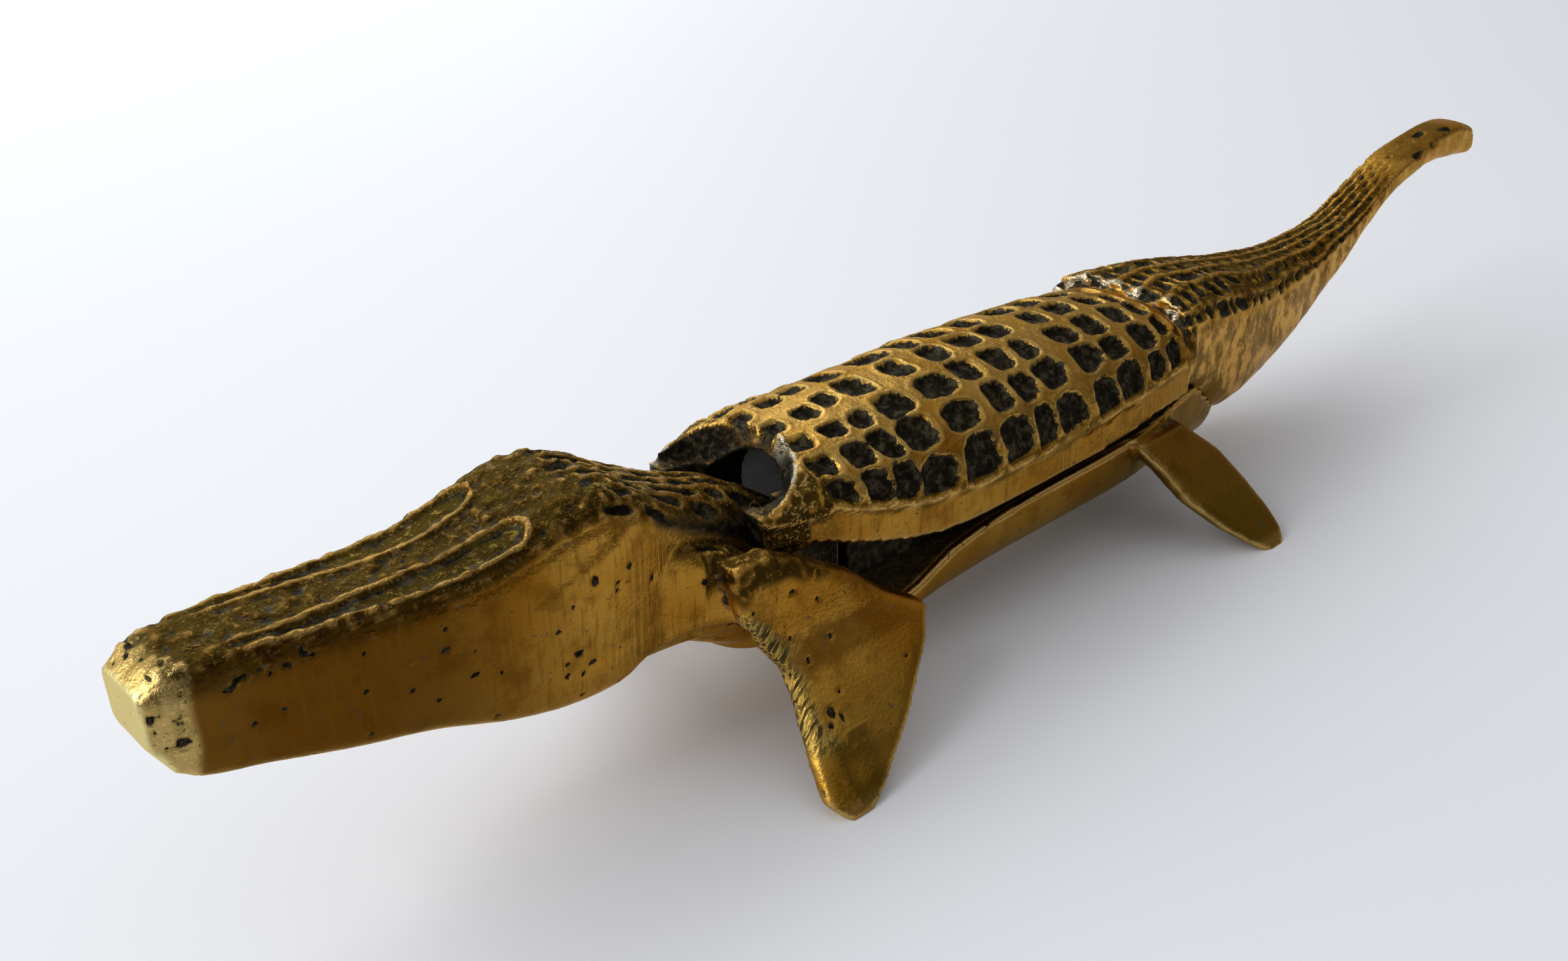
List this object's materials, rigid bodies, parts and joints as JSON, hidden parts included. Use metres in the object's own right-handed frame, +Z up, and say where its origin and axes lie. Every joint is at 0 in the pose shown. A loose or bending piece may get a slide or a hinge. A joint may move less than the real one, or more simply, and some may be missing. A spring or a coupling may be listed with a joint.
{
  "type": "crocodile nutcracker",
  "caption": "Cast brass crocodile nutcracker whose hollow back lifts by the tail about a neck pin to open a nut chamber.",
  "frame": {"origin": "on the table, below the middle of the overall length, on the mirror plane", "axes": "+X from the nose to the tail, +Z up, +Y to the crocodile's right"},
  "size_m": [0.33, 0.079, 0.0491],
  "materials": {
    "body_brass": "aged cast brass, filed satin sides, dark patina in the recesses",
    "lever_brass": "aged cast brass, polished scale ridges, dark patina in the pits",
    "pin_brass": "drawn rod, dulled and darkened like the castings"
  },
  "bodies": {
    "body": {"crocodile_body": "body_brass"},
    "lever": {"back_and_tail_lever": "lever_brass", "hinge_pin": "pin_brass"}
  },
  "joints": [
    {"name": "tail_lift", "type": "hinge", "parent": "body", "child": "lever", "pos_m": [-0.073, 0, 0.031], "axis": [0, -1, 0], "range_deg": [0, 75]}
  ]
}
